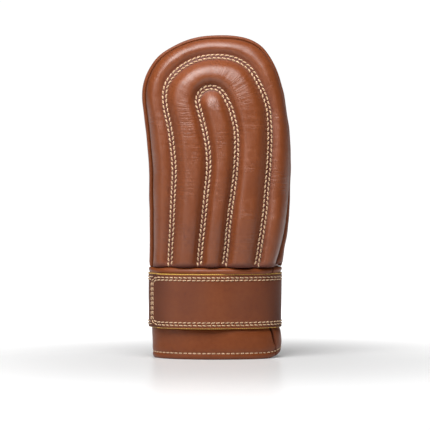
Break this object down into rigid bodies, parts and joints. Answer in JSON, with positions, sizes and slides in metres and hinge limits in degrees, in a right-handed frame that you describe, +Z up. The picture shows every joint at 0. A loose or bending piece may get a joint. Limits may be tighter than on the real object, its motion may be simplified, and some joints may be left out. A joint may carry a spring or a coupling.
{
  "type": "bag glove",
  "caption": "Leather bag mitt standing on its cuff, with a quilted padded back, plain palm, grip roll and a wide wrist strap.",
  "frame": {"origin": "under the middle of the whole mitt, on the plane its cuff stands on", "axes": "+Z up from the cuff to the fingertips, -Y out of the quilted back of the hand, +Y out of the palm, +X to the right as seen from the back of the hand"},
  "size_m": [0.1306, 0.0808, 0.284],
  "materials": {
    "pad_leather": "semi-gloss chestnut leather, quilted over foam",
    "body_leather": "semi-gloss chestnut leather",
    "palm_leather": "semi-gloss chestnut leather",
    "lining_cloth": "matt black woven lining",
    "strap_leather": "semi-gloss chestnut leather strap"
  },
  "bodies": {
    "root": {"quilted_pad": "pad_leather", "side_wall": "body_leather", "finger_pocket": "palm_leather", "grip_roll": "palm_leather", "palm_panel": "palm_leather", "cuff_back": "body_leather", "cuff_gusset": "body_leather", "cuff_flap_left": "palm_leather", "cuff_flap_right": "palm_leather", "cuff_lining": "lining_cloth", "wrist_strap": "strap_leather"}
  },
  "joints": []
}
